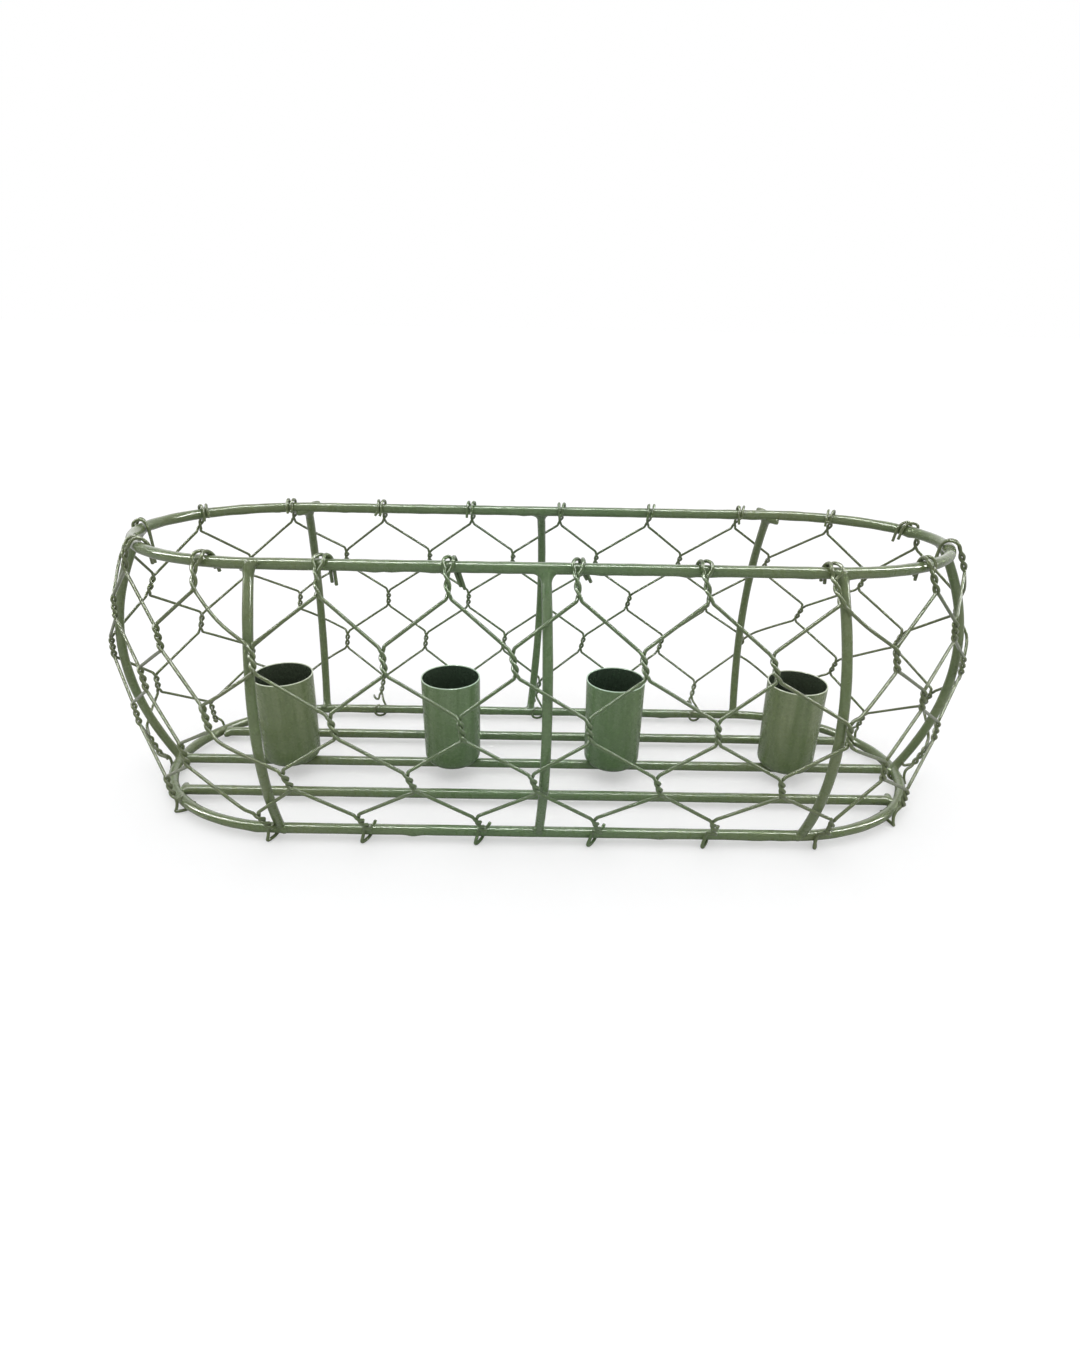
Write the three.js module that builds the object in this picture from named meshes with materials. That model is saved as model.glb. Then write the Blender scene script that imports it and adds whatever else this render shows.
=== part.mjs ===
// Oblong wreath frame for candles: a barrel-shaped cage of welded rod with four candle cups on its
// base, wrapped in hexagonal wire netting that is hooked over both rings.
// Millimetres, +Z up, X along the cage, Y across it, origin under the middle of the base.
import * as THREE from 'three';
import { mergeVertices } from 'three/addons/utils/BufferGeometryUtils.js';

// Rod and wire
const rodRadius = 2;
const wireRadius = 0.7;
const gap = 0.3; // left between pieces that touch or are welded

// Rings, measured on the rod's centreline: straight sides joined by half-ellipse ends
const straightHalf = 100.4;
const topReach = 59.6; // how far an end stands out past the straight side
const topHalfWidth = 43.7;
const bottomReach = 61.9;
const bottomHalfWidth = 51.5;
const cageHeight = 105.8; // from ring to ring
const ribBow = 17; // how far the ribs swell outwards at half height

// Side ribs, set by eye: end is the corner that a rib stands by, or 0 for the middle; top and bottom are
// how far past that corner it meets each ring along X, and sway is its lean along X at half height
const sideRibs = {
  front_left: { side: -1, end: -1, top: 1.4, bottom: 0.8, sway: 1.3 },
  front_middle: { side: -1, end: 0, top: 1.6, bottom: 0.6, sway: 1.7 },
  front_right: { side: -1, end: 1, top: 4.6, bottom: 4.1, sway: 1.8 },
  back_left: { side: 1, end: -1, top: 4.8, bottom: 8.6, sway: -3.5 },
  back_middle: { side: 1, end: 0, top: -0.4, bottom: -4.3, sway: 2.3 },
  back_right: { side: 1, end: 1, top: 1.6, bottom: 0.3, sway: 1.2 },
};
const barSpacing = 25.5;

// Candle cups, deep-drawn, on the middle bar
const cupRadius = 12.7;
const cupHeight = 41.2;
const cupWall = 0.8;
const cupCorner = 4; // outside radius round the bottom
const cupTaper = 0.5; // the bottom is this much smaller in radius than the rim
const cupSpacing = 74.5;
const cupDrift = [0.5, -1.2, -4, 0.5]; // the cups are placed by eye

// Netting: columns of twists round the cage, each row half a column on from the one above
const netColumns = 19;
const frontColumns = 4.5; // columns along the straight front
const backColumns = 4.95; // the netting is bunched a little along the back
const netRows = 5;
const netStart = 0.28; // the first column, counted from the middle of the front
const netDrift = 0.0575; // how far each row leans on from the one above, in columns
const netFlatness = 0.8; // how nearly straight it is drawn from a side rib to the end rib
const netCrease = THREE.MathUtils.degToRad(8); // where it leaves a side rib, past the straight side
const netRounding = 0.12; // how softly it turns over an end rib, in radians of the end
const twistLength = 9;
const twistRadius = 0.9; // from the twist's axis to each strand's
const topTwistDrop = 5.5; // from the top ring down to the middle of the first twist
const bottomTwistRise = 9.4; // from the bottom ring up to the middle of the last twist
const tailSpread = 1.6; // how far the two ends splay sideways at a hook
const topTail = 4;
const bottomTail = 2.5;

// Worked out from the sizes above
const rodSides = 8;
const ringEndSteps = 24;
const ribSteps = 12;
const cupSides = 24;
const twistSteps = 3; // a half turn, one strand passing over the other
const hookSteps = 4; // a half circle round the ring
const bendMargin = 0.08; // no bend this near to a twist, as a share of the way between two
const hookReach = (rodRadius + gap + wireRadius) / Math.cos(Math.PI / hookSteps / 2);
const netStandoff = rodRadius + gap + twistRadius + wireRadius;
const bottomRingHeight = hookReach + wireRadius;
const topRingHeight = bottomRingHeight + cageHeight;
const endColumns = (netColumns - frontColumns - backColumns) / 2;
const rightTip = (frontColumns + endColumns) / 2; // the column at the tip of the right end
const rowPitch = (cageHeight - topTwistDrop - bottomTwistRise) / (netRows - 1);
const up = new THREE.Vector3(0, 0, 1);
const mix = THREE.MathUtils.lerp;

const green = (lightness, roughness) =>
  new THREE.MeshStandardMaterial({
    color: new THREE.Color().setHSL(0.27, 0.16, lightness),
    roughness,
    metalness: 0.1,
  });

// The barrel's outline at a height: swell runs from 0 at both rings to 1 at half height.
function outline(height, bow, out) {
  const share = (height - bottomRingHeight) / cageHeight;
  const swell = Math.max(0, 4 * share * (1 - share));
  return {
    swell,
    reach: mix(bottomReach, topReach, share) + bow * swell + out,
    halfWidth: mix(bottomHalfWidth, topHalfWidth, share) + bow * swell + out,
  };
}

// A unit end, angle 0 at its tip: a half circle, flattened towards the chords from its tip to the creases.
function endShape(angle, flat) {
  const crease = Math.PI / 2 - netCrease;
  const fromTip = (turn) => Math.hypot(turn, netRounding) - netRounding;
  const share = fromTip(angle) / fromTip(crease);
  const blend = share < 1 ? flat : 0;
  return {
    x: mix(Math.cos(angle), mix(1, Math.cos(crease), share), blend),
    y: mix(Math.sin(angle), Math.sign(angle) * Math.sin(crease) * share, blend),
  };
}

// A point of the barrel: column runs anticlockwise from the middle of the front, once round in netColumns.
function around(column, height, { bow = 0, out = 0, flatness = 0 } = {}) {
  const { swell, reach, halfWidth } = outline(height, bow, out);
  const c = THREE.MathUtils.euclideanModulo(column + frontColumns / 2, netColumns);
  const rightEnd = c - frontColumns;
  const back = rightEnd - endColumns;
  const leftEnd = back - backColumns;
  const onEnd = (side, share) => {
    const { x, y } = endShape(Math.PI * (share - 0.5), flatness * swell);
    return new THREE.Vector3(side * (straightHalf + reach * x), side * halfWidth * y, height);
  };
  if (rightEnd < 0) {
    return new THREE.Vector3(straightHalf * ((2 * c) / frontColumns - 1), -halfWidth, height);
  }
  if (back < 0) return onEnd(1, rightEnd / endColumns);
  if (leftEnd < 0) {
    return new THREE.Vector3(straightHalf * (1 - (2 * back) / backColumns), halfWidth, height);
  }
  return onEnd(-1, leftEnd / endColumns);
}

// A point of a side rib: straight from ring to ring but for its sway along X and its bow outwards.
function onSideRib({ side, end, top, bottom, sway }, height) {
  const share = (height - bottomRingHeight) / cageHeight;
  const { swell, reach, halfWidth } = outline(height, ribBow, 0);
  const pastCorner = mix(bottom, top, share);
  const x = (end === 0 ? pastCorner : end * (straightHalf + pastCorner)) + sway * swell;
  const past = Math.max(0, Math.abs(x) - straightHalf) / reach;
  return new THREE.Vector3(x, side * halfWidth * Math.sqrt(1 - past * past), height);
}

// A curve through given points with its steps at those points.
class Route extends THREE.Curve {
  constructor(points) {
    super();
    this.points = points;
  }

  getPoint(t) {
    const last = this.points.length - 1;
    const place = THREE.MathUtils.clamp(t, 0, 1) * last;
    const i = Math.min(Math.floor(place), last - 1);
    return this.points[i].clone().lerp(this.points[i + 1], place - i);
  }

  getPointAt(u) {
    return this.getPoint(u);
  }

  getTangentAt(u) {
    return this.getTangent(u);
  }
}

// A ring's centreline: one step along each straight side, ringEndSteps round each end.
class RingCurve extends Route {
  constructor(height) {
    super([]);
    const points = [];
    for (const first of [frontColumns / 2, netColumns / 2 + backColumns / 2]) {
      for (let i = 0; i <= ringEndSteps; i += 1) {
        const inset = 1e-9; // keeps the last point on the end rather than past it
        points.push(around(first + inset + (i / ringEndSteps) * (endColumns - 2 * inset), height));
      }
    }
    this.points = [...points, points[0].clone()];
  }
}

function polygon(radius, sides) {
  const shape = [];
  for (let i = 0; i < sides; i += 1) {
    const angle = ((i + 0.5) / sides) * 2 * Math.PI;
    shape.push(new THREE.Vector2(radius * Math.cos(angle), radius * Math.sin(angle)));
  }
  return new THREE.Shape(shape);
}

function merged(geometry) {
  geometry.deleteAttribute('normal');
  geometry.deleteAttribute('uv');
  const solid = mergeVertices(geometry);
  solid.computeVertexNormals();
  return solid;
}

// A rod or wire along a list of points.
function rodAlong(points, radius, sides) {
  return merged(
    new THREE.ExtrudeGeometry(polygon(radius, sides), {
      steps: points.length - 1,
      extrudePath: new Route(points),
      bevelEnabled: false,
    }),
  );
}

const frame = new THREE.Group();

function add(name, geometry, material) {
  const mesh = new THREE.Mesh(geometry, material);
  mesh.name = name;
  frame.add(mesh);
  return mesh;
}

function addRing(name, height) {
  const steps = 2 * (ringEndSteps + 1);
  const tube = new THREE.TubeGeometry(new RingCurve(height), steps, rodRadius, rodSides, true);
  add(name, merged(tube), green(0.36, 0.42));
}

// A rib runs from the top of the bottom ring to the underside of the top ring.
function addRib(name, pointAt) {
  const low = bottomRingHeight + rodRadius + gap;
  const high = topRingHeight - rodRadius - gap;
  const points = [];
  for (let i = 0; i <= ribSteps; i += 1) {
    points.push(pointAt(mix(low, high, i / ribSteps)));
  }
  add(name, rodAlong(points, rodRadius, rodSides), green(0.42, 0.45));
}

function addRibs() {
  for (const [place, rib] of Object.entries(sideRibs)) {
    addRib(`rib_${place}`, (height) => onSideRib(rib, height));
  }
  addRib('rib_right_end', (height) => around(rightTip, height, { bow: ribBow }));
  addRib('rib_left_end', (height) => around(-rightTip, height, { bow: ribBow }));
}

// How far a base bar reaches along X before its end meets the inside of the bottom ring.
function barReach(y) {
  const edge = Math.abs(y) + rodRadius;
  const inside = (edge / (bottomHalfWidth - rodRadius - gap)) ** 2;
  return straightHalf + (bottomReach - rodRadius - gap) * Math.sqrt(1 - inside);
}

function addBaseBars() {
  for (const [place, step] of [['front', -1], ['middle', 0], ['back', 1]]) {
    const y = step * barSpacing;
    const reach = barReach(y);
    const ends = [-reach, reach].map((x) => new THREE.Vector3(x, y, bottomRingHeight));
    add(`base_bar_${place}`, rodAlong(ends, rodRadius, rodSides), green(0.33, 0.42));
  }
}

// The cup's wall, from the middle of its underside out, up, over the rim and down to its floor.
function cupProfile() {
  const profile = [new THREE.Vector2(0, 0)];
  const corner = (radius, centreX, centreY, angles) => {
    for (const degrees of angles) {
      const angle = THREE.MathUtils.degToRad(degrees);
      const x = centreX + radius * Math.cos(angle);
      profile.push(new THREE.Vector2(x, centreY + radius * Math.sin(angle)));
    }
  };
  const centreX = cupRadius - cupTaper - cupCorner;
  corner(cupCorner, centreX, cupCorner, [-90, -60, -30, 0]);
  profile.push(new THREE.Vector2(cupRadius, cupHeight));
  profile.push(new THREE.Vector2(cupRadius - cupWall, cupHeight));
  corner(cupCorner - cupWall, centreX, cupCorner, [0, -45, -90]);
  profile.push(new THREE.Vector2(0, cupWall));
  return profile;
}

function addCups() {
  const profile = cupProfile();
  cupDrift.forEach((drift, i) => {
    const cup = merged(new THREE.LatheGeometry(profile, cupSides)).rotateX(Math.PI / 2);
    const x = (i - (cupDrift.length - 1) / 2) * cupSpacing + drift;
    const mesh = add(`candle_cup_${i + 1}`, cup, green(0.26, 0.35));
    mesh.position.set(x, 0, bottomRingHeight + rodRadius + gap);
  });
}

// The netting's own directions at a point of it: along the rings, up the cage and outwards.
function netFrame(column, height) {
  const at = (c, h) => around(c, h, { bow: ribBow, out: netStandoff, flatness: netFlatness });
  const along = at(column + 0.01, height).sub(at(column - 0.01, height)).normalize();
  const rise = at(column, height + 0.1).sub(at(column, height - 0.1)).normalize();
  return { centre: at(column, height), along, out: along.clone().cross(rise).normalize() };
}

const twistMiddle = (row) => topRingHeight - topTwistDrop - row * rowPitch;

// Where a strand on its way down to the next twist crosses a rib or a crease, it bends over it.
function bends(row, column, nextColumn) {
  const half = endColumns / 2;
  const crease = half - (netCrease / Math.PI) * endColumns;
  const places = [rightTip, netColumns - rightTip].flatMap((tip) => [tip - crease, tip, tip + crease]);
  const from = twistMiddle(row) - twistLength / 2;
  const to = twistMiddle(row + 1) + twistLength / 2;
  const points = [];
  for (const place of places) {
    for (const lap of [-netColumns, 0, netColumns]) {
      const share = (place + lap - column) / (nextColumn - column);
      if (share > bendMargin && share < 1 - bendMargin) {
        points.push({ share, at: netFrame(place, mix(from, to, share)).centre });
      }
    }
  }
  return points.sort((a, b) => a.share - b.share).map((bend) => bend.at);
}

// One strand's half turn round its partner, from the top down; lean is 1 for a strand that steps
// anticlockwise on its way down and -1 for its partner.
function twistPoints(row, column, lean) {
  const points = [];
  for (let i = 0; i <= twistSteps; i += 1) {
    const angle = (Math.PI * i) / twistSteps;
    const height = twistMiddle(row) + twistLength * (0.5 - i / twistSteps);
    const { centre, along, out } = netFrame(column, height);
    centre.addScaledVector(along, -lean * twistRadius * Math.cos(angle));
    points.push(centre.addScaledVector(out, lean * twistRadius * Math.sin(angle)));
  }
  return points;
}

// A ring's own directions at a column: its centreline, along it and straight outwards.
function ringFrame(column, ringHeight) {
  const at = (c) => around(c, ringHeight);
  const along = at(column + 0.01).sub(at(column - 0.01)).normalize();
  return { base: at(column), along, out: along.clone().cross(up) };
}

// The column of a bottom hook, moved aside where its ends would meet a base bar.
function clearOfBars(column) {
  const tailY = (c) => {
    const { base, out } = ringFrame(c, bottomRingHeight);
    return base.addScaledVector(out, -hookReach).y;
  };
  const room = rodRadius + gap + wireRadius + tailSpread;
  const y = tailY(column);
  const bar = [-barSpacing, 0, barSpacing].find((place) => Math.abs(y - place) < room);
  if (bar === undefined || Math.abs(around(column, bottomRingHeight).x) < straightHalf) return column;
  const slope = (tailY(column + 0.01) - y) / 0.01;
  return column + (bar + (y < bar ? -room : room) - y) / slope;
}

// A strand's end, round the ring's rod from the outside to the inside, then straight on as a tail.
function hookPoints(column, ringHeight, direction, side, tail) {
  const { base, along, out } = ringFrame(column, ringHeight);
  const points = [];
  for (let i = 0; i <= hookSteps; i += 1) {
    const angle = (Math.PI * i) / hookSteps;
    const spread = mix(twistRadius, tailSpread, i / hookSteps);
    const point = base.clone().addScaledVector(along, side * spread);
    point.addScaledVector(out, hookReach * Math.cos(angle));
    points.push(point.addScaledVector(up, direction * hookReach * Math.sin(angle)));
  }
  points.push(points[hookSteps].clone().addScaledVector(up, -direction * tail));
  return points;
}

function strandPoints(first, lean) {
  const top = hookPoints(first, topRingHeight, 1, -lean, topTail).reverse();
  const points = [...top];
  const columns = Array.from({ length: netRows }, (_, row) => first + row * (netDrift + lean / 2));
  columns.push(clearOfBars(columns.pop()));
  columns.forEach((column, row) => {
    points.push(...twistPoints(row, column, lean));
    if (row + 1 < netRows) points.push(...bends(row, column, columns[row + 1]));
  });
  return [...points, ...hookPoints(columns.at(-1), bottomRingHeight, -1, lean, bottomTail)];
}

function addNetting() {
  for (const [hand, lean] of [['right', 1], ['left', -1]]) {
    for (let i = 0; i < netColumns; i += 1) {
      const name = `net_${hand}_${String(i + 1).padStart(2, '0')}`;
      add(name, rodAlong(strandPoints(netStart + i, lean), wireRadius, 4), green(0.38, 0.5));
    }
  }
}

addRing('top_ring', topRingHeight);
addRing('bottom_ring', bottomRingHeight);
addRibs();
addBaseBars();
addCups();
addNetting();

export default frame;
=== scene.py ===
import bpy
import numpy as np
from mathutils import Matrix, Vector


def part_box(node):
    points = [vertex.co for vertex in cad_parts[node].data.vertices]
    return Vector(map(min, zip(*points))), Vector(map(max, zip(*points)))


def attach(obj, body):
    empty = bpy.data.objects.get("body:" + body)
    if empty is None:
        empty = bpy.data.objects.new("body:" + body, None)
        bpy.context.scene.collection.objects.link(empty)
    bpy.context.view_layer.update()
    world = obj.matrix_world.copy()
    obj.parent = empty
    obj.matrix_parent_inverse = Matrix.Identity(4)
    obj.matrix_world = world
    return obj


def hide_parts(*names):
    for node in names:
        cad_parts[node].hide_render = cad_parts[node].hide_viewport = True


# Oblong wreath frame: a barrel-shaped cage of painted rod with four candle cups, wrapped in wire netting.
# Sizes here are in millimetres; makeMesh turns them into metres.
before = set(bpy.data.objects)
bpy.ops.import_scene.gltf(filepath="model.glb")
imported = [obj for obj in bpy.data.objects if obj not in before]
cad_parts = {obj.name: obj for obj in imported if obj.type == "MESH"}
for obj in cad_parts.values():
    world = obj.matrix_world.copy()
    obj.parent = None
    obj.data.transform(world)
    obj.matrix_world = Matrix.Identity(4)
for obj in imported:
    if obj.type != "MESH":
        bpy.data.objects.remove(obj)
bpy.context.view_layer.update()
mm = 0.001
up = np.array([0.0, 0.0, 1.0])
print("frame loaded:", len(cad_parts), "nodes")


def boxOf(node):
    low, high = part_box(node)
    return np.array(low) / mm, np.array(high) / mm


# Sizes read from the frame.
topLow, topHigh = boxOf("top_ring")
bottomLow, bottomHigh = boxOf("bottom_ring")
rodRadius = (topHigh[2] - topLow[2]) / 2
topZ = (topHigh[2] + topLow[2]) / 2
bottomZ = (bottomHigh[2] + bottomLow[2]) / 2

cage = {
    "straightHalf": 100.4,  # half of each ring's straight side
    "ribBow": 17,  # how far the ribs swell at half height
    "paint": 0.12,  # how much the paint thickens the rings and bars
    "rib": 1.85,  # the ribs' rod, a little thinner
    "weld": 4.2,  # radius of the smooth bell where a rib meets the top ring
    "foot": 1.6,  # the smaller fillet at its foot
    "swelling": 0.22, "swellLength": 5,  # how much a rib thickens under the top ring, and over what length
    "splay": 0.35,  # how far the ribs' outward sides turn towards the ends
    "ribHeights": 160, "ribStep": 0.7, "ribSides": 20,
    "unevenness": 0.012, "waves": (12, 50),  # of the ribs' and bars' coat, in shares and lengths
}
straightHalf = cage["straightHalf"]
topReach = topHigh[0] - rodRadius - straightHalf
topHalf = topHigh[1] - rodRadius
bottomReach = bottomHigh[0] - rodRadius - straightHalf
bottomHalf = bottomHigh[1] - rodRadius

net = {
    "columns": 19, "front": 4.5, "back": 4.95,  # columns of twists round the cage, along front and back
    "rows": 5, "start": 0.28, "drift": 0.0575,
    "shift": (0, -0.036, 0, 0.022, 0),  # how far each row is pulled along the front, in columns,
    "shiftReach": 2.7,  # this near its middle
    "pull": 0.16, "pulled": (2.0, 3.0),  # the front's leftmost foot is pulled aside, if it ends this far left
    "firstDrop": -1.0, "firstLength": 7.9, "firstTurns": 2,  # the top row sits close under the hooks
    "flatness": 0.8, "crease": np.radians(8), "rounding": 0.12,
    "twistLength": 9, "halfTurns": 3, "topDrop": 5.5, "bottomRise": 9.4,
    "wireFront": 0.67, "wireBack": 0.57, "wireDepth": 60,  # the wire's radius, a little finer at the back
    "cutEnd": 0.8,  # its cut ends, as a share of that
    "turn": 0.77,  # from a twist's axis to each wire's
    "twistLean": (0.02, 0.07), "leanWave": (37.0, 5.0),  # how far a twist leans on, and how that varies
    "bendClear": 0.08,  # the share of a run at each end in which it doesn't bend
    "standoff": 3.9,  # from the rods' centrelines out to the twists' axes
    "sides": 8, "samples": 4,
}
endColumns = (net["columns"] - net["front"] - net["back"]) / 2
rightTip = (net["front"] + endColumns) / 2
rowPitch = (topZ - bottomZ - net["topDrop"] - net["bottomRise"]) / (net["rows"] - 1)


def mix(a, b, share):
    return a + (b - a) * share


def unit(v):
    return v / np.linalg.norm(v, axis=-1, keepdims=True)


# The barrel at a height: swell is 4s(1 - s) for the share s of the way up, added to both half sizes.
def outline(height, bow, out):
    share = (height - bottomZ) / (topZ - bottomZ)
    swell = np.maximum(0, 4 * share * (1 - share))
    reach = mix(bottomReach, topReach, share) + bow * swell + out
    return swell, reach, mix(bottomHalf, topHalf, share) + bow * swell + out


# A unit end: a half circle, blended towards the chords from its tip to the creases, the tip rounded.
def endShape(angle, flat):
    crease = np.pi / 2 - net["crease"]
    rounding = net["rounding"]
    fromTip = np.hypot(angle, rounding) - rounding
    share = fromTip / (np.hypot(crease, rounding) - rounding)
    blend = np.where(share < 1, flat, 0)
    chordY = np.sign(angle) * np.sin(crease) * share
    return mix(np.cos(angle), mix(1, np.cos(crease), share), blend), mix(np.sin(angle), chordY, blend)


# A point of the barrel for arrays of columns and heights: straight front, right end, straight back, left end.
def around(column, height, bow=0.0, out=0.0, flatness=0.0):
    column, height = np.broadcast_arrays(np.asarray(column, float), np.asarray(height, float))
    swell, reach, half = outline(height, bow, out)
    c = np.mod(column + net["front"] / 2, net["columns"])
    right = c - net["front"]
    back = right - endColumns
    left = back - net["back"]
    onFront, onRight, onBack = right < 0, (right >= 0) & (back < 0), (back >= 0) & (left < 0)
    side = np.where(onRight, 1, -1)
    unitX, unitY = endShape(np.pi * (np.where(onRight, right, left) / endColumns - 0.5), flatness * swell)
    frontX = straightHalf * (2 * c / net["front"] - 1)
    backX = straightHalf * (1 - 2 * back / net["back"])
    x = np.where(onFront, frontX, np.where(onBack, backX, side * (straightHalf + reach * unitX)))
    y = np.where(onFront, -half, np.where(onBack, half, side * half * unitY))
    return np.stack([x, y, height], axis=-1)


# Every piece's mesh is made here, from points in millimetres.
def makeMesh(name, vertices, faces, uv=None):
    mesh = bpy.data.meshes.new(name)
    mesh.from_pydata((np.asarray(vertices) * mm).tolist(), [], faces)
    mesh.polygons.foreach_set("use_smooth", np.ones(len(mesh.polygons), bool))
    if uv is not None:
        layer = mesh.uv_layers.new(name="surface")
        corners = np.zeros(len(mesh.loops), int)
        mesh.loops.foreach_get("vertex_index", corners)
        layer.data.foreach_set("uv", np.asarray(uv, np.float32)[corners].ravel())
    mesh.update()
    piece = bpy.data.objects.new(name, mesh)
    bpy.context.scene.collection.objects.link(piece)
    return piece


# Quads between the rings of a grid of points, rows along the path and columns round it.
def gridFaces(rows, sides, closed=False):
    i = np.arange(rows if closed else rows - 1)[:, None] * sides
    following = (i + sides) % (rows * sides)
    k = np.arange(sides)[None, :]
    after = (k + 1) % sides
    quads = np.stack([i + k, i + after, following + after, following + k], axis=-1)
    return quads.reshape(-1, 4).tolist()


# A tube: each ring is centre + cos(angle) * wide * a + sin(angle) * deep * b, a and b square to the path.
def tube(path, wide, deep, reference, sides, closed=False):
    if closed:
        tangent = unit(np.roll(path, -1, axis=0) - np.roll(path, 1, axis=0))
    else:
        tangent = unit(np.gradient(path, axis=0))
    a = unit(np.cross(reference, tangent))
    b = np.cross(tangent, a)
    angle = 2 * np.pi * np.arange(sides) / sides
    wide = np.broadcast_to(np.asarray(wide, float).reshape(len(path), -1), (len(path), sides))
    deep = np.broadcast_to(np.asarray(deep, float).reshape(len(path), -1), (len(path), sides))
    ring = (wide * np.cos(angle))[..., None] * a[:, None] + (deep * np.sin(angle))[..., None] * b[:, None]
    vertices = (path[:, None] + ring).reshape(-1, 3)
    faces = gridFaces(len(path), sides, closed)
    if not closed:
        faces.append(list(range(sides))[::-1])
        faces.append(list(range((len(path) - 1) * sides, len(path) * sides)))
    return vertices, faces


# A uniform cubic B-spline through a list of control points, its ends carried on so that it reaches them.
def smoothPath(control, samples):
    control = np.asarray(control, float)
    padded = np.vstack([2 * control[0] - control[1], control, 2 * control[-1] - control[-2]])
    t = np.linspace(0, 1, samples, endpoint=False)[:, None]
    weights = np.hstack([(1 - t) ** 3, 3 * t**3 - 6 * t**2 + 4, -3 * t**3 + 3 * t**2 + 3 * t + 1, t**3]) / 6
    spans = np.stack([padded[k : len(padded) - 3 + k] for k in range(4)], axis=1)
    curve = np.einsum("sk,nkd->nsd", weights, spans).reshape(-1, 3)
    return np.vstack([curve, control[-1]])


# Points at even steps along a polyline.
def evenly(points, step, closed=False):
    line = np.vstack([points, points[:1]]) if closed else np.asarray(points)
    far = np.concatenate([[0], np.cumsum(np.linalg.norm(np.diff(line, axis=0), axis=1))])
    count = max(4, int(round(far[-1] / step)))
    places = np.linspace(0, far[-1], count, endpoint=not closed)
    return np.stack([np.interp(places, far, line[:, k]) for k in range(3)], axis=1), places


# A smooth uneven number along a length: five sine waves of seeded lengths and phases, mean square about one.
def uneven(places, seed, shortest, longest):
    rng = np.random.default_rng(seed)
    waves = 2 * np.pi / rng.uniform(shortest, longest, 5)
    phases = rng.uniform(0, 2 * np.pi, 5)
    return np.sin(places[:, None] * waves + phases).sum(axis=1) * np.sqrt(2 / 5)


# Shader nodes: a value that is a socket is linked, and any other value is set.
def newGroup(name, inputs, outputs):
    group = bpy.data.node_groups.new(name, "ShaderNodeTree")
    for kind, label, value in inputs:
        socket = group.interface.new_socket(label, in_out="INPUT", socket_type=kind)
        socket.default_value = value
    for kind, label in outputs:
        group.interface.new_socket(label, in_out="OUTPUT", socket_type=kind)
    return group, group.nodes.new("NodeGroupInput"), group.nodes.new("NodeGroupOutput")


def addNode(tree, kind, **values):
    node = tree.nodes.new(kind)
    for key, value in values.items():
        setattr(node, key, value)
    return node


def feed(tree, value, socket):
    if hasattr(value, "links"):
        tree.links.new(value, socket)
    else:
        socket.default_value = value


def noiseNode(tree, vector, scale, detail, roughness=0.5):
    node = addNode(tree, "ShaderNodeTexNoise")
    for label, value in (("Vector", vector), ("Scale", scale), ("Detail", detail), ("Roughness", roughness)):
        feed(tree, value, node.inputs[label])
    return node


def rangeNode(tree, value, fromLow, fromHigh, toLow, toHigh):
    node = addNode(tree, "ShaderNodeMapRange")
    labels = ("Value", "From Min", "From Max", "To Min", "To Max")
    for label, given in zip(labels, (value, fromLow, fromHigh, toLow, toHigh)):
        feed(tree, given, node.inputs[label])
    return node


def mixColour(tree, factor, a, b, blend="MIX"):
    node = addNode(tree, "ShaderNodeMix", data_type="RGBA", blend_type=blend)
    for place, value in ((0, factor), (6, a), (7, b)):  # the colour mix's own sockets
        feed(tree, value, node.inputs[place])
    return node.outputs[2]


# What every coat shares: the sizes of its patterns as noise scales, and a painted light tint, a cooler cast
# of light over the frame's middle.
coat = {
    "speckles": 900.0, "speckle": (0.86, 1.12),
    "glossPatches": 260.0,
    "grains": 2600.0, "grainShare": 0.3, "bumpDepth": 0.0004,
    # the middle colour is painted light: a cooler cast of light multiplied over the frame's middle, fading
    # out across its span
    "middle": (0.80, 1.0, 0.98, 1), "middleSpan": (0.025, 0.100),  # all of it and none of it, in metres
}
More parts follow.
